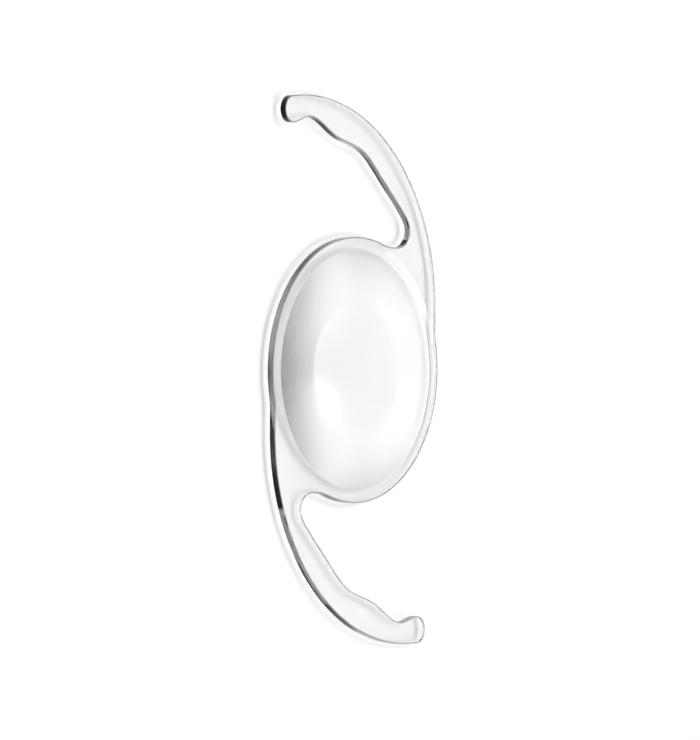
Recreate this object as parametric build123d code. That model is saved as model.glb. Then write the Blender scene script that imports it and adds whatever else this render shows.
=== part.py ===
# Intraocular lens, one moulded piece of clear soft acrylic.
# An optic with a square edge, domed in front and flatter behind, is carried by two flat open loops.
# Millimetres. +Z is the optic axis and points to the front side of the lens.
# +Y runs along the two loops. The origin is the middle of the flat centre of the back.
import math
import os

from build123d import *

# Optic, as its section shows it
OPTIC_DIAMETER = 6.0
EDGE_THICKNESS = 0.145
FRONT_RIM_WIDTH = 0.30
FRONT_RADIUS = 9.6
BACK_RADIUS = 40.0
BACK_FLAT_DIAMETER = 2.94

# Loops, as the plan shows them; both are alike, half a turn apart
OVERALL_LENGTH = 13.2
LOOP_INSET = 0.095
LOOP_ROOT_HEIGHT = 1.39
TOE_RADIUS = 0.31
TOE_ANGLE = 95.2
TOE_HOOK_ANGLE = 13.0
NECK_WIDTH = 0.50
FOREARM_WIDTH = 0.763
ELBOW_WIDTH = 0.683
SHANK_WIDTH = 0.737
WAIST_WIDTH = 0.587

# Gap between a loop and the optic, and the blend that runs each loop into the rim
CROTCH_RADIUS = 0.378
CROTCH_GAP = 0.144
CROTCH_ANGLE = 63.8
BLEND_RADIUS = 1.5


def polar(centre, radius, angle):
    """Point of a circle in plan, at an angle in degrees from +X."""
    turn = math.radians(angle)
    return (centre[0] + radius * math.cos(turn), centre[1] + radius * math.sin(turn))


def heading(start, end):
    """Angle in degrees from +X of the way from one point to another."""
    return math.degrees(math.atan2(end[1] - start[1], end[0] - start[0]))


def arc_between(centre, radius, start, end):
    """Arc from one angle to another; a falling angle runs clockwise."""
    return CenterArc(centre, radius, start, end - start)


def sag(radius, reach):
    """Depth of a sphere at a distance from its axis."""
    return radius - math.sqrt(radius ** 2 - reach ** 2)


optic_radius = OPTIC_DIAMETER / 2
axis_point = (0, 0)

# The outer side of a loop is one arc from the root to the toe.
# Its radius is the one that brings the rounded toe out to the overall length.
# As toe_offset grows, the toe's centre moves inward and upward in proportion,
# until it is toe_reach away from the axis: a quadratic equation in toe_offset.
loop_side = optic_radius - LOOP_INSET
inward = 1 - math.cos(math.radians(TOE_ANGLE))
upward = math.sin(math.radians(TOE_ANGLE))
start_reach = loop_side - TOE_RADIUS
toe_reach = OVERALL_LENGTH / 2 - TOE_RADIUS
square_term = inward ** 2 + upward ** 2
half_linear_term = LOOP_ROOT_HEIGHT * upward - start_reach * inward
constant_term = start_reach ** 2 + LOOP_ROOT_HEIGHT ** 2 - toe_reach ** 2
discriminant = half_linear_term ** 2 - square_term * constant_term
toe_offset = (math.sqrt(discriminant) - half_linear_term) / square_term
loop_radius = toe_offset + TOE_RADIUS
loop_centre = (loop_side - loop_radius, LOOP_ROOT_HEIGHT)
toe_centre = polar(loop_centre, toe_offset, TOE_ANGLE)
toe_end = 270 + TOE_HOOK_ANGLE

# Where the straight root of a loop runs into the rim
root_blend_x = loop_side + BLEND_RADIUS
root_blend_y = math.sqrt((optic_radius + BLEND_RADIUS) ** 2 - root_blend_x ** 2)
root_blend = (root_blend_x, root_blend_y)
root_angle = heading(axis_point, root_blend)

# Where the inner side of a loop turns back and runs into the rim
crotch_reach = optic_radius + CROTCH_GAP + CROTCH_RADIUS
crotch = polar(axis_point, crotch_reach, CROTCH_ANGLE)
blend_reach = optic_radius + BLEND_RADIUS
turn_reach = BLEND_RADIUS - CROTCH_RADIUS
cosine = (blend_reach ** 2 + crotch_reach ** 2 - turn_reach ** 2) / (2 * blend_reach * crotch_reach)
rim_angle = CROTCH_ANGLE + math.degrees(math.acos(cosine))
rim_blend = polar(axis_point, blend_reach, rim_angle)
turn_angle = heading(rim_blend, crotch)

# The inner side of a loop follows the outer one at these widths, toe first
STATIONS = [
    (88, NECK_WIDTH),
    (74, FOREARM_WIDTH),
    (60, ELBOW_WIDTH),
    (46, SHANK_WIDTH),
    (30, WAIST_WIDTH),
]
inner_points = [polar(toe_centre, TOE_RADIUS, toe_end)]
for angle, width in STATIONS:
    inner_points.append(polar(loop_centre, loop_radius - width, angle))
inner_points.append(polar(crotch, CROTCH_RADIUS, 0))
toe_heading = polar(axis_point, 1, TOE_HOOK_ANGLE)

half_outline = [
    arc_between(root_blend, BLEND_RADIUS, 180 + root_angle, 180),
    Line((loop_side, root_blend_y), (loop_side, LOOP_ROOT_HEIGHT)),
    arc_between(loop_centre, loop_radius, 0, TOE_ANGLE),
    arc_between(toe_centre, TOE_RADIUS, TOE_ANGLE, toe_end),
    Spline(*inner_points, tangents=(toe_heading, (0, -1)), tangent_scalars=(1, 1)),
    arc_between(crotch, CROTCH_RADIUS, 0, turn_angle),
    arc_between(rim_blend, BLEND_RADIUS, turn_angle, rim_angle - 180),
    arc_between(axis_point, optic_radius, rim_angle, 180 + root_angle),
]
outline = half_outline + [edge.rotate(Axis.Z, 180) for edge in half_outline]

# Heights of the section, from the flat centre of the back up
back_flat_reach = BACK_FLAT_DIAMETER / 2
back_z = sag(BACK_RADIUS, optic_radius) - sag(BACK_RADIUS, back_flat_reach)
front_z = back_z + EDGE_THICKNESS
front_reach = optic_radius - FRONT_RIM_WIDTH
top_z = front_z + sag(FRONT_RADIUS, front_reach)


def front_height(reach):
    """Height of the front surface at a distance from the axis."""
    return top_z - sag(FRONT_RADIUS, reach)


def back_height(reach):
    """Height of the back surface, outside its flat centre, at a distance from the axis."""
    return sag(BACK_RADIUS, reach) - sag(BACK_RADIUS, back_flat_reach)


def section_arc(height, start, end):
    """Arc of the section between two distances from the axis."""
    middle = (start + end) / 2
    return ThreePointArc(*[(reach, height(reach)) for reach in (start, middle, end)])


front_section = [
    Line((0, front_z), (front_reach, front_z)),
    section_arc(front_height, front_reach, 0),
    Line((0, top_z), (0, front_z)),
]
back_section = [
    Line((0, 0), (back_flat_reach, 0)),
    section_arc(back_height, back_flat_reach, optic_radius),
    Line((optic_radius, back_z), (0, back_z)),
    Line((0, back_z), (0, 0)),
]

plan = Face(Wire(outline))
plate = extrude(Pos(0, 0, back_z) * plan, EDGE_THICKNESS)
front = revolve(Plane.XZ * Face(Wire(front_section)), Axis.Z)
back = revolve(Plane.XZ * Face(Wire(back_section)), Axis.Z)
lens = plate + front + back

os.makedirs("parts", exist_ok=True)
export_step(lens, "parts/lens.step")
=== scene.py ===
"""Clear one-piece intraocular lens, laid front side up on a white table.

The lens is built as a fine mesh of the same form as the solid that it replaces.
Run as a script, it registers its operators and panel, builds the lens and lights it.
"""
import math

import bmesh
import bpy
import numpy as np
from bpy.props import FloatProperty, FloatVectorProperty, PointerProperty
from bpy.types import Operator, Panel, PropertyGroup
from mathutils import Matrix, Vector


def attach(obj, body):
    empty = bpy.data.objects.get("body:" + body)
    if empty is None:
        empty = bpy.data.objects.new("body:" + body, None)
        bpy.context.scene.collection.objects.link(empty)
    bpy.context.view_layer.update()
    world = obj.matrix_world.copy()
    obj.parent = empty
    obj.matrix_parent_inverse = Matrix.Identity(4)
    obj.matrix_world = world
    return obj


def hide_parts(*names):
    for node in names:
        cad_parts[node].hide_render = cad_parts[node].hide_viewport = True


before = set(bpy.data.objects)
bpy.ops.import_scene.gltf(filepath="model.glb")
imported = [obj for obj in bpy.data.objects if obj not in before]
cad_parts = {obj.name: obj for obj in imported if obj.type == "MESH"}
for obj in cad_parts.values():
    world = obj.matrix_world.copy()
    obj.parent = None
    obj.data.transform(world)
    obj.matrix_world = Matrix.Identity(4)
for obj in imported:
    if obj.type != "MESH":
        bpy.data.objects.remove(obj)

bl_info = {
    "name": "Intraocular Lens",
    "version": (1, 0, 0),
    "blender": (4, 5, 0),
    "location": "3D View > Sidebar > Lens",
    "description": "Builds a clear intraocular lens and a white table to show it on",
    "category": "Add Mesh",
}

MM = 0.001
NODE = "lens"

# The optic axis in plan, and the angle that points down in plan, towards -Y
AXIS = (0.0, 0.0)
DOWNWARD = 1.5 * math.pi

# Where round the bend of a loop each of its widths lies, in degrees, toe first
WIDTH_STATIONS = {
    "neck_width": 88,
    "forearm_width": 74,
    "elbow_width": 60,
    "shank_width": 46,
    "waist_width": 30,
}

# Spacing of the mesh's points, and how many lie on the straight root of a loop
MESH_STEP = 0.04 * MM
ROOT_POINTS = 8

# Places of the clear faces' finish and of the edges' painted shade in the mesh's list of materials
FACE_SLOT, EDGE_SLOT = 0, 1

# How many layers of finer marks the moulded grain has
GRAIN_DETAIL = 3.0

# Sockets of the Mix node when it mixes colours
MIX_SHARE, MIX_FROM, MIX_TO, MIX_RESULT = 0, 6, 7, 2


def length(name, description, default):
    """A size in metres."""
    return FloatProperty(
        name=name, description=description, default=default, min=0.0, unit="LENGTH", precision=6
    )


def angle(name, description, default):
    """An angle in radians, with its default in degrees."""
    return FloatProperty(
        name=name, description=description, default=math.radians(default), unit="ROTATION"
    )


def share(name, description, default):
    """A number from 0 to 1."""
    return FloatProperty(
        name=name, description=description, default=default, min=0.0, max=1.0, subtype="FACTOR"
    )


def amount(name, description, default, unit="NONE"):
    """A number that isn't below 0."""
    return FloatProperty(name=name, description=description, default=default, min=0.0, unit=unit)


def pixels(name, description, default):
    """Two numbers of pixels, across and down the picture."""
    return FloatVectorProperty(name=name, description=description, default=default, size=2)


def grey(name, description, default):
    """A colour, with a grey as its default."""
    colour = (default,) * 3
    return FloatVectorProperty(
        name=name, description=description, default=colour, size=3, min=0.0, max=1.0,
        subtype="COLOR",
    )


class LensSizes(PropertyGroup):
    """Sizes of the lens, the same as the solid's."""

    optic_diameter: length("Optic", "Diameter of the optic", 6.0 * MM)
    edge_thickness: length("Edge", "Thickness of the rim and the loops", 0.145 * MM)
    front_rim_width: length("Front rim", "Width of the flat rim round the front surface", 0.30 * MM)
    front_radius: length("Front radius", "Radius of the front surface", 9.6 * MM)
    back_radius: length("Back radius", "Radius of the back outside its flat centre", 40.0 * MM)
    back_flat_diameter: length("Back flat", "Diameter of the flat centre of the back", 2.94 * MM)
    overall_length: length("Overall", "Length over both toes", 13.2 * MM)
    loop_inset: length("Loop inset", "How far the side of a loop lies inside the rim", 0.095 * MM)
    loop_root_height: length("Loop root", "Where a loop's straight root starts to bend", 1.39 * MM)
    toe_radius: length("Toe radius", "Radius of a loop's rounded end", 0.31 * MM)
    toe_angle: angle("Toe angle", "How far round its bend a loop reaches its toe", 95.2)
    toe_hook_angle: angle("Toe hook", "How far the toe's end runs past its lowest point", 13.0)
    neck_width: length("Neck", "Width of a loop behind the toe", 0.50 * MM)
    forearm_width: length("Forearm", "Width of a loop before the neck", 0.763 * MM)
    elbow_width: length("Elbow", "Width of a loop half way along", 0.683 * MM)
    shank_width: length("Shank", "Width of a loop after its waist", 0.737 * MM)
    waist_width: length("Waist", "Width of a loop where it leaves the optic", 0.587 * MM)
    crotch_radius: length("Crotch radius", "Radius of the notch between loop and optic", 0.378 * MM)
    crotch_gap: length("Crotch gap", "How far that notch stays off the rim", 0.144 * MM)
    crotch_angle: angle("Crotch angle", "Where that notch lies round the optic", 63.8)
    blend_radius: length("Blend radius", "Radius with which a loop runs into the rim", 1.5 * MM)


class LensFinish(PropertyGroup):
    """Finish of the clear acrylic, and the painted shade of its square edges."""

    optic_colour: grey("Optic", "Colour of the thick optic, which takes up a little light", 0.94)
    loop_colour: grey("Loops", "Colour of the thin flat rim and loops", 0.99)
    refraction: amount("Refraction", "Index of refraction of the acrylic", 1.55)
    optic_roughness: share("Optic roughness", "Roughness of the two faces of the optic", 0.2)
    loop_roughness: share("Loop roughness", "Roughness of the flat rim and the loops", 0.02)
    # The edges' dark colour and their dimmed reflections are painted shade; edge_lip is the width
    # of that painted shade along the front's outline
    painted_edge_shade: grey("Edge", "Colour of the square edges", 0.24)
    edge_reflection_shade: grey("Edge shine", "Colour of the reflections on the square edges", 0.28)
    edge_roughness: share("Edge roughness", "Roughness of the square edges", 0.04)
    edge_lip: length("Edge lip", "Width of the edge's finish along the front", 0.032 * MM)
    grain_size: length("Grain size", "Size of the fine marks that the mould leaves", 0.05 * MM)
    grain_spread: share("Grain spread", "How much the roughness varies with the marks", 0.15)
    face_grain: length("Face grain", "Depth of the marks on the faces", 0.00001 * MM)
    edge_grain: length("Edge grain", "Depth of the marks on the square edges", 0.0001 * MM)


class StageSettings(PropertyGroup):
    """View, table and lights."""

    view_angle: angle("View angle", "Angle between the view and the axis of the optic", 51.72)
    view_roll: angle("View roll", "Turn of the camera about its view", 0.43)
    focal_length: length("Focal length", "Focal length, long for a nearly parallel view", 1.2)
    pixels_per_mm: amount("Pixels per mm", "Scale of the picture", 44.39)
    frame_pixels: pixels("Frame", "Width and height of the picture", (700, 740))
    axis_pixel: pixels("Axis", "Where the axis meets the plane of the front rim", (355.43, 370.0))
    table_colour: grey("Table", "Colour of the table", 0.95)
    table_size: length("Table size", "Side of the square table", 4.0)
    table_gap: length("Table gap", "Hair by which the table lies below the lens", 0.02 * MM)
    softbox_height: length("Softbox height", "Height of the softbox over the table", 0.4)
    softbox_shift: length("Softbox shift", "How far beyond the axis the softbox hangs", 0.04)
    softbox_width: length("Softbox width", "Width of the softbox across the optic", 0.3)
    softbox_length: length("Softbox length", "Length of the softbox along the loops", 0.34)
    softbox_power: amount("Softbox power", "Power of the softbox", 1.06, unit="POWER")
    horizon_glow: amount("Horizon glow", "Brightness of the white walls round the table", 1.05)
    horizon_full: angle("Horizon full", "Height up to which those walls are fully bright", 6.0)
    horizon_end: angle("Horizon end", "Height above which the room is dark", 18.0)
    room_glow: amount("Room glow", "Brightness of the dark part of the room", 0.03)
    side_panel_turn: angle("Side panel turn", "Turn of the side panels to either side of +X", 36.0)
    side_panel_height: angle("Side panel height", "Height of the two side panels", 52.0)
    side_panel_reach: angle("Side panel reach", "Half the angle that a side panel takes up", 19.0)
    side_panel_glow: amount("Side panel glow", "Brightness of the two side panels", 3.8)
    far_panel_turn: angle("Far panel turn", "Turn of the far panel from +X towards +Y", -6.0)
    far_panel_height: angle("Far panel height", "Height of the panel beyond the lens", 18.0)
    far_panel_reach: angle("Far panel reach", "Half the angle that the far panel takes up", 8.0)
    far_panel_glow: amount("Far panel glow", "Brightness of the panel beyond the lens", 0.6)
    strip_turn: angle("Strip turn", "Turn of the strip lamp from +X towards +Y", -10.8)
    strip_height: angle("Strip height", "Height of the middle of the strip lamp", 54.8)
    strip_lean: angle("Strip lean", "Lean of the strip lamp towards +Y", 28.0)
    strip_width: angle("Strip width", "Half the angle that the strip lamp takes up across", 3.4)
    strip_length: angle("Strip length", "Half the angle that the strip lamp takes up along", 7.2)
    strip_glow: amount("Strip glow", "Brightness of the strip lamp", 6.0)


def polar(centre, radius, turn):
    """Point of a circle in plan."""
    return np.array([centre[0] + radius * math.cos(turn), centre[1] + radius * math.sin(turn)])


def heading(start, end):
    """Direction from one point to another, as an angle from +X."""
    return math.atan2(end[1] - start[1], end[0] - start[0])


def arc_points(centre, radius, start, end, step):
    """Points along an arc, without the last one."""
    count = max(2, math.ceil(abs(end - start) * radius / step))
    return [polar(centre, radius, turn) for turn in np.linspace(start, end, count, endpoint=False)]


def spline_points(points, first, last, step):
    """Smooth curve through points, with a unit direction at each end, without the last point.

    The slopes at the points are those with which its bend doesn't jump from span to span.
    """
    knots = np.array(points)
    spans = np.linalg.norm(np.diff(knots, axis=0), axis=1)
    count = len(knots)
    system, target = np.eye(count), np.zeros((count, 2))
    target[0], target[-1] = first, last
    for i in range(1, count - 1):
        before, after = spans[i - 1], spans[i]
        system[i, i - 1 : i + 2] = after, 2 * (before + after), before
        incoming = after / before * (knots[i] - knots[i - 1])
        outgoing = before / after * (knots[i + 1] - knots[i])
        target[i] = 3 * (incoming + outgoing)
    slopes = np.linalg.solve(system, target)
    curve = []
    for i, span in enumerate(spans):
        for t in np.linspace(0, 1, math.ceil(span / step), endpoint=False):
            start = (1 + 2 * t) * (1 - t) ** 2 * knots[i] + t * (1 - t) ** 2 * span * slopes[i]
            end = t * t * (3 - 2 * t) * knots[i + 1] + t * t * (t - 1) * span * slopes[i + 1]
            curve.append(start + end)
    return curve


def outer_arc(sizes):
    """Radius and centre of the arc that a loop's outer side follows, and the centre of its toe.

    The radius brings the rounded toe out to the overall length. As toe_offset grows,
    the toe's centre moves inward and upward in proportion, until it is toe_reach away
    from the axis: a quadratic equation in toe_offset.
    """
    side = sizes.optic_diameter / 2 - sizes.loop_inset
    toe, root = sizes.toe_radius, sizes.loop_root_height
    inward, upward = 1 - math.cos(sizes.toe_angle), math.sin(sizes.toe_angle)
    start_reach, toe_reach = side - toe, sizes.overall_length / 2 - toe
    square_term = inward**2 + upward**2
    half_linear_term = root * upward - start_reach * inward
    constant_term = start_reach**2 + root**2 - toe_reach**2
    discriminant = half_linear_term**2 - square_term * constant_term
    toe_offset = (math.sqrt(discriminant) - half_linear_term) / square_term
    radius = toe_offset + toe
    centre = (side - radius, root)
    return radius, centre, polar(centre, toe_offset, sizes.toe_angle)


def loop_plan(sizes, step):
    """Outline of the loop on the +Y side, from the rim round the toe and back to the rim.

    Gives the points between the two places on the rim, and the angles of those places.
    """
    optic, blend, toe = sizes.optic_diameter / 2, sizes.blend_radius, sizes.toe_radius
    side, root = optic - sizes.loop_inset, sizes.loop_root_height
    radius, centre, toe_centre = outer_arc(sizes)
    toe_end = DOWNWARD + sizes.toe_hook_angle

    # Where the straight root of the loop runs into the rim
    blend_reach = optic + blend
    root_blend = (side + blend, math.sqrt(blend_reach**2 - (side + blend) ** 2))
    root_angle = heading(AXIS, root_blend)

    # Where the inner side of the loop turns back and runs into the rim
    notch = sizes.crotch_radius
    crotch_reach = optic + sizes.crotch_gap + notch
    crotch = polar(AXIS, crotch_reach, sizes.crotch_angle)
    turn_reach = blend - notch
    cosine = (blend_reach**2 + crotch_reach**2 - turn_reach**2) / (2 * blend_reach * crotch_reach)
    rim_angle = sizes.crotch_angle + math.acos(cosine)
    rim_blend = polar(AXIS, blend_reach, rim_angle)
    turn_angle = heading(rim_blend, crotch)

    # The inner side of the loop follows the outer one at the loop's widths
    inner = [polar(toe_centre, toe, toe_end)]
    for name, station in WIDTH_STATIONS.items():
        inner.append(polar(centre, radius - getattr(sizes, name), math.radians(station)))
    inner.append(polar(crotch, notch, 0))
    toe_heading, notch_heading = polar(AXIS, 1, sizes.toe_hook_angle), (0, -1)

    points = arc_points(root_blend, blend, math.pi + root_angle, math.pi, step)[1:]
    straight = np.linspace(root_blend[1], root, ROOT_POINTS, endpoint=False)
    points += [np.array([side, y]) for y in straight]
    points += arc_points(centre, radius, 0, sizes.toe_angle, step)
    points += arc_points(toe_centre, toe, sizes.toe_angle, toe_end, step / 2)
    points += spline_points(inner, toe_heading, notch_heading, step)
    points += arc_points(crotch, notch, 0, turn_angle, step / 2)
    points += arc_points(rim_blend, blend, turn_angle, rim_angle - math.pi, step)
    return points, root_angle, rim_angle


def sag(radius, reach):
    """Depth of a sphere at a distance from its axis."""
    return radius - math.sqrt(radius**2 - reach**2)


class Section:
    """Heights of the lens at a distance from its axis."""

    def __init__(self, sizes):
        self.sizes = sizes
        self.optic = sizes.optic_diameter / 2
        self.front_reach = self.optic - sizes.front_rim_width
        self.flat_reach = sizes.back_flat_diameter / 2
        self.back_edge = self.back(self.optic)
        self.front_edge = self.back_edge + sizes.edge_thickness
        self.top = self.front_edge + sag(sizes.front_radius, self.front_reach)

    def front(self, reach):
        """Height of the front surface, inside its flat rim."""
        return self.top - sag(self.sizes.front_radius, reach)

    def back(self, reach):
        """Height of the back surface."""
        radius = self.sizes.back_radius
        return sag(radius, max(reach, self.flat_reach)) - sag(radius, self.flat_reach)


def rings_between(start, end, step):
    """Distances from the axis, evenly spaced, from just after the start to the end."""
    count = max(2, math.ceil(abs(end - start) / step))
    return np.linspace(start, end, count + 1)[1:]


class LensMesh:
    """The lens as one closed mesh: rings over the optic, and two flat loops joined to its rim."""

    def __init__(self, sizes, lip, step):
        self.bm = bmesh.new()
        self.section = Section(sizes)
        self.lip = lip
        self.step = step
        self.loop, root, rim = loop_plan(sizes, step)
        self.turns, self.joint = self.rim_turns(root, rim)
        self.creases = []

    def rim_turns(self, root, rim):
        """Angles round the rim, and how many of them lie along the joint of one loop."""

        def stretch(start, end):
            count = math.ceil((end - start) * self.section.optic / self.step)
            return list(np.linspace(start, end, count, endpoint=False))

        joint, free = stretch(root, rim), stretch(rim, root + math.pi)
        half = joint + free
        return half + [turn + math.pi for turn in half], len(joint)

    def ring(self, reach, height):
        """A ring of vertices at one distance from the axis."""
        return [self.bm.verts.new((*polar(AXIS, reach, turn), height)) for turn in self.turns]

    def band(self, first, second, slot=FACE_SLOT):
        """Faces between two closed rows of vertices."""
        for i in range(len(first)):
            face = self.bm.faces.new((first[i - 1], first[i], second[i], second[i - 1]))
            face.material_index = slot

    def cap(self, rim, reach, zones, height):
        """One side of the optic: rings in from a first one, zone by zone, to the axis."""
        ring = rim
        for end in zones:
            self.creases.append(ring)
            for reach in rings_between(reach, end, self.step):
                if reach > 0:
                    ring, outer = self.ring(reach, height(reach)), ring
                    self.band(outer, ring)
        pole = self.bm.verts.new((0, 0, height(0)))
        for i in range(len(ring)):
            self.bm.faces.new((ring[i - 1], ring[i], pole))

    def back_loops(self, rim):
        """The flat backs of both loops. Gives the outline of the lens, which runs round them."""
        outline = []
        half, level = len(rim) // 2, self.section.back_edge
        for first, sign in ((0, 1), (half, -1)):
            edge = [self.bm.verts.new((sign * x, sign * y, level)) for x, y in self.loop]
            last = first + self.joint
            inside = rim[first : last + 1]
            self.bm.faces.new(edge + inside[::-1])
            outline += [inside[0], *edge, *rim[last : first + half]]
        return outline

    def inward(self, outline, width):
        """A row of vertices a little inside a closed outline that runs anticlockwise."""
        row = []
        for i, vertex in enumerate(outline):
            way = outline[(i + 1) % len(outline)].co - outline[i - 1].co
            side = Vector((-way.y, way.x, 0)).normalized()
            row.append(self.bm.verts.new(vertex.co + width * side))
        return row

    def edges_round(self, row):
        """Edges of a closed row of vertices."""
        return [self.bm.edges.get((row[i - 1], row[i])) for i in range(len(row))]

    def fill(self, outer, inner):
        """Flat faces between two closed rows of vertices."""
        edges = self.edges_round(outer) + self.edges_round(inner)
        bmesh.ops.triangle_fill(self.bm, use_beauty=True, edges=edges, normal=(0, 0, 1))

    def build(self):
        """Makes all the faces and gives the finished mesh."""
        section = self.section
        back_rim = self.ring(section.optic, section.back_edge)
        self.cap(back_rim, section.optic, (section.flat_reach, 0), section.back)
        foot = self.ring(section.front_reach, section.front_edge)
        self.cap(foot, section.front_reach, (0,), section.front)
        back = self.back_loops(back_rim)
        front = [self.bm.verts.new((*vertex.co.xy, section.front_edge)) for vertex in back]
        lip = self.inward(front, self.lip)
        # The walls and a thin strip along the front's outline take the edges' painted shade
        self.band(front, back, EDGE_SLOT)
        self.band(lip, front, EDGE_SLOT)
        self.fill(lip, foot)
        self.creases += [front, back]
        return self.finish()

    def finish(self):
        """Turns the faces outward, keeps the creases sharp and gives the mesh."""
        bm = self.bm
        bmesh.ops.recalc_face_normals(bm, faces=bm.faces)
        for face in bm.faces:
            face.smooth = True
        for row in self.creases:
            for edge in self.edges_round(row):
                edge.smooth = False
        mesh = bpy.data.meshes.new("clear_lens")
        bm.to_mesh(mesh)
        bm.free()
        return mesh


def add_node(tree, kind, inputs=None, **settings):
    """A shader node with its settings; an input is a value or a socket to link."""
    node = tree.nodes.new("ShaderNode" + kind)
    for name, value in settings.items():
        setattr(node, name, value)
    for key, value in (inputs or {}).items():
        if isinstance(value, bpy.types.NodeSocket):
            tree.links.new(value, node.inputs[key])
        else:
            node.inputs[key].default_value = value
    return node


def calculate(tree, operation, first, second):
    """Result of a sum on two numbers or sockets."""
    return add_node(tree, "Math", {0: first, 1: second}, operation=operation).outputs[0]


def smooth_step(tree, value, start, end, low, high):
    """Number that changes softly from low to high while a value runs from start to end."""
    inputs = {"Value": value, "From Min": start, "From Max": end, "To Min": low, "To Max": high}
    return add_node(tree, "MapRange", inputs, interpolation_type="SMOOTHSTEP").outputs["Result"]


def between(tree, factor, low, high):
    """Number that changes evenly from low to high while a factor runs from 0 to 1."""
    inputs = {"Value": factor, "To Min": low, "To Max": high}
    return add_node(tree, "MapRange", inputs).outputs["Result"]


def new_acrylic(name, finish):
    """A material of the lens, with its shader and a fine grain in the lens's own coordinates."""
    material = bpy.data.materials.new(name)
    material.use_nodes = True
    tree = material.node_tree
    shader = tree.nodes["Principled BSDF"]
    shader.inputs["IOR"].default_value = finish.refraction
    shader.inputs["Transmission Weight"].default_value = 1.0
    place = add_node(tree, "TexCoord").outputs["Object"]
    marks = {"Vector": place, "Scale": 1 / finish.grain_size, "Detail": GRAIN_DETAIL}
    grain = add_node(tree, "TexNoise", marks).outputs["Fac"]
    return material, tree, shader, place, grain


def add_grain(tree, shader, grain, roughness, spread, depth):
    """Gives a shader a roughness that varies with the grain, and the grain's fine marks."""
    vary = between(tree, grain, 1 - spread, 1 + spread)
    tree.links.new(calculate(tree, "MULTIPLY", roughness, vary), shader.inputs["Roughness"])
    bump = add_node(tree, "Bump", {"Height": grain, "Distance": depth})
    tree.links.new(bump.outputs["Normal"], shader.inputs["Normal"])


def clear_acrylic(finish, section):
    """Clear acrylic: satin over the curved optic, polished on the flat rim and the loops."""
    material, tree, shader, place, grain = new_acrylic("clear_acrylic", finish)
    plan = add_node(tree, "VectorMath", {0: place, 1: (1, 1, 0)}, operation="MULTIPLY")
    reach = add_node(tree, "VectorMath", {0: plan.outputs["Vector"]}, operation="LENGTH")
    start, end = section.front_reach - MESH_STEP / 2, section.front_reach + MESH_STEP
    outside = smooth_step(tree, reach.outputs["Value"], start, end, 0.0, 1.0)
    optic, loop = (*finish.optic_colour, 1), (*finish.loop_colour, 1)
    colours = {MIX_SHARE: outside, MIX_FROM: optic, MIX_TO: loop}
    colour = add_node(tree, "Mix", colours, data_type="RGBA").outputs[MIX_RESULT]
    tree.links.new(colour, shader.inputs["Base Color"])
    roughness = between(tree, outside, finish.optic_roughness, finish.loop_roughness)
    add_grain(tree, shader, grain, roughness, finish.grain_spread, finish.face_grain)
    return material


def painted_shade_edge(finish):
    """The square edges, as clear as the faces but tinted dark and with dimmed reflections: painted
    shade on the walls and on a thin strip along the front's outline.
    """
    material, tree, shader, _, grain = new_acrylic("painted_shade_edge", finish)
    # Painted shade: a dark tint and dimmed reflections on the edges
    shader.inputs["Base Color"].default_value = (*finish.painted_edge_shade, 1)
    shader.inputs["Specular Tint"].default_value = (*finish.edge_reflection_shade, 1)
    add_grain(tree, shader, grain, finish.edge_roughness, finish.grain_spread, finish.edge_grain)
    return material


class IOL_OT_build_lens(Operator):
    """Build the clear lens in place of the plain solid"""

    bl_idname = "iol.build_lens"
    bl_label = "Build Lens"

    def execute(self, context):
        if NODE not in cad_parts:
            raise RuntimeError(f"the packed model has no node {NODE}")
        scene = context.scene
        shape = LensMesh(scene.lens_sizes, scene.lens_finish.edge_lip, MESH_STEP)
        mesh = shape.build()
        mesh.materials.append(clear_acrylic(scene.lens_finish, shape.section))
        mesh.materials.append(painted_shade_edge(scene.lens_finish))
        lens = bpy.data.objects.new("clear_lens", mesh)
        scene.collection.objects.link(lens)
        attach(lens, "root")
        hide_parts(NODE)
        return {"FINISHED"}


def direction(turn, height):
    """Unit vector at an angle from +X towards +Y, and at a height over the table."""
    level = math.cos(height)
    return Vector((level * math.cos(turn), level * math.sin(turn), math.sin(height)))


def along(tree, place, way):
    """How far a direction of the room points one way."""
    node = add_node(tree, "VectorMath", {0: place, 1: way}, operation="DOT_PRODUCT")
    return node.outputs["Value"]


def soft_panel(tree, place, turn, height, lean, width, long):
    """Share from 0 to 1 by which a direction of the room lies on a rectangular panel.

    It falls off softly over the outer half of the panel's reach each way.
    """
    middle = direction(turn, height)
    across = Vector((-math.sin(turn), math.cos(turn), 0))
    upward = middle.cross(across)
    lengthwise = upward * math.cos(lean) + across * math.sin(lean)
    crosswise = across * math.cos(lean) - upward * math.sin(lean)
    cover = calculate(tree, "GREATER_THAN", along(tree, place, middle), 0.0)
    for way, reach in ((crosswise, math.sin(width)), (lengthwise, math.sin(long))):
        offset = calculate(tree, "ABSOLUTE", along(tree, place, way), 0.0)
        inside = smooth_step(tree, offset, reach / 2, reach, 1.0, 0.0)
        cover = calculate(tree, "MULTIPLY", cover, inside)
    return cover


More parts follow.
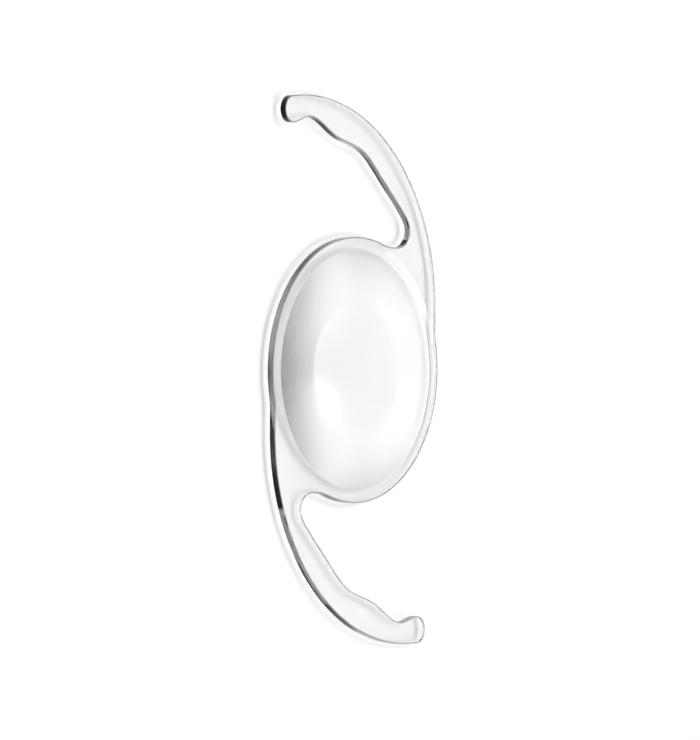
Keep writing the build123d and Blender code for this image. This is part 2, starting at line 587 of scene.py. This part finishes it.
class IOL_OT_build_stage(Operator):
    """Build the table, the lights and the camera"""

    bl_idname = "iol.build_stage"
    bl_label = "Build Stage"

    def execute(self, context):
        scene = context.scene
        stage = scene.lens_stage
        self.add_table(scene, stage)
        self.add_room(scene, stage)
        self.add_softbox(scene, stage)
        self.add_camera(scene, stage)
        scene.view_settings.view_transform = "Standard"
        # Keeps the reflections in the small clear lens sharp
        scene.cycles.blur_glossy = 0.0
        return {"FINISHED"}

    def add_table(self, scene, stage):
        """A matt white table, a hair below the lens so that the two faces don't coincide."""
        half, top = stage.table_size / 2, -stage.table_gap
        mesh = bpy.data.meshes.new("table")
        corners = [(-half, -half, top), (half, -half, top), (half, half, top), (-half, half, top)]
        mesh.from_pydata(corners, [], [(0, 1, 2, 3)])
        material = bpy.data.materials.new("white_table")
        material.use_nodes = True
        shader = material.node_tree.nodes["Principled BSDF"]
        shader.inputs["Base Color"].default_value = (*stage.table_colour, 1)
        shader.inputs["Roughness"].default_value = 1.0
        shader.inputs["Specular IOR Level"].default_value = 0.0
        mesh.materials.append(material)
        table = bpy.data.objects.new("table", mesh)
        scene.collection.objects.link(table)

    def add_room(self, scene, stage):
        """White walls low round the table, a dark room above them, soft panels and a strip lamp."""
        world = bpy.data.worlds.new("room")
        scene.world = world
        world.use_nodes = True
        tree = world.node_tree
        place = add_node(tree, "TexCoord").outputs["Generated"]
        rise = add_node(tree, "SeparateXYZ", {0: place}).outputs["Z"]
        full, end = math.sin(stage.horizon_full), math.sin(stage.horizon_end)
        glow = smooth_step(tree, rise, full, end, stage.horizon_glow, stage.room_glow)

        side = (stage.side_panel_height, 0, stage.side_panel_reach, stage.side_panel_reach)
        far = (stage.far_panel_height, 0, stage.far_panel_reach, stage.far_panel_reach)
        strip = (stage.strip_height, stage.strip_lean, stage.strip_width, stage.strip_length)
        for turn, shape, strength in (
            (stage.side_panel_turn, side, stage.side_panel_glow),
            (-stage.side_panel_turn, side, stage.side_panel_glow),
            (stage.far_panel_turn, far, stage.far_panel_glow),
            (stage.strip_turn, strip, stage.strip_glow),
        ):
            panel = soft_panel(tree, place, turn, *shape)
            glow = calculate(tree, "ADD", glow, calculate(tree, "MULTIPLY", panel, strength))
        background = tree.nodes["Background"]
        background.inputs["Color"].default_value = (1, 1, 1, 1)
        tree.links.new(glow, background.inputs["Strength"])

    def add_softbox(self, scene, stage):
        """One wide softbox over the lens."""
        data = bpy.data.lights.new("softbox", "AREA")
        data.shape = "RECTANGLE"
        data.size, data.size_y = stage.softbox_width, stage.softbox_length
        data.energy = stage.softbox_power
        softbox = bpy.data.objects.new("softbox", data)
        softbox.location = (stage.softbox_shift, 0, stage.softbox_height)
        scene.collection.objects.link(softbox)

    def add_camera(self, scene, stage):
        """The camera, from the view's angles, its scale and the pixel that shows the axis."""
        data = bpy.data.cameras.new("camera")
        data.lens = stage.focal_length / MM
        camera = bpy.data.objects.new("camera", data)
        scene.collection.objects.link(camera)
        scene.camera = camera
        away = direction(math.pi, math.pi / 2 - stage.view_angle)
        lengthwise = Vector((0, 1, 0))
        across = lengthwise.cross(away)
        right = across * math.cos(stage.view_roll) + lengthwise * math.sin(stage.view_roll)
        up = lengthwise * math.cos(stage.view_roll) - across * math.sin(stage.view_roll)
        picture, axis = Vector(stage.frame_pixels), Vector(stage.axis_pixel)
        pixel = MM / stage.pixels_per_mm
        shift = (picture / 2 - axis) * pixel
        rim_centre = Vector((0, 0, Section(scene.lens_sizes).front_edge))
        target = rim_centre + right * shift.x - up * shift.y
        distance = max(picture) * pixel * data.lens / data.sensor_width
        place = Matrix((right, up, away)).transposed().to_4x4()
        place.translation = target + away * distance
        camera.matrix_world = place


class IOL_PT_lens(Panel):
    """Buttons that build the lens and its stage, with their settings"""

    bl_idname = "IOL_PT_lens"
    bl_label = "Intraocular Lens"
    bl_space_type = "VIEW_3D"
    bl_region_type = "UI"
    bl_category = "Lens"

    def draw(self, context):
        scene = context.scene
        for operator, groups in (
            (IOL_OT_build_lens, (scene.lens_sizes, scene.lens_finish)),
            (IOL_OT_build_stage, (scene.lens_stage,)),
        ):
            self.layout.operator(operator.bl_idname)
            for group in groups:
                column = self.layout.column(align=True)
                for name in type(group).__annotations__:
                    column.prop(group, name)


CLASSES = (
    LensSizes,
    LensFinish,
    StageSettings,
    IOL_OT_build_lens,
    IOL_OT_build_stage,
    IOL_PT_lens,
)
SETTINGS = {"lens_sizes": LensSizes, "lens_finish": LensFinish, "lens_stage": StageSettings}


def register():
    for item in CLASSES:
        bpy.utils.register_class(item)
    for name, group in SETTINGS.items():
        setattr(bpy.types.Scene, name, PointerProperty(type=group))


def unregister():
    for name in SETTINGS:
        delattr(bpy.types.Scene, name)
    for item in reversed(CLASSES):
        bpy.utils.unregister_class(item)


def main():
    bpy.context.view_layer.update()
    register()
    bpy.ops.iol.build_lens()
    bpy.ops.iol.build_stage()


if __name__ == "__main__":
    main()
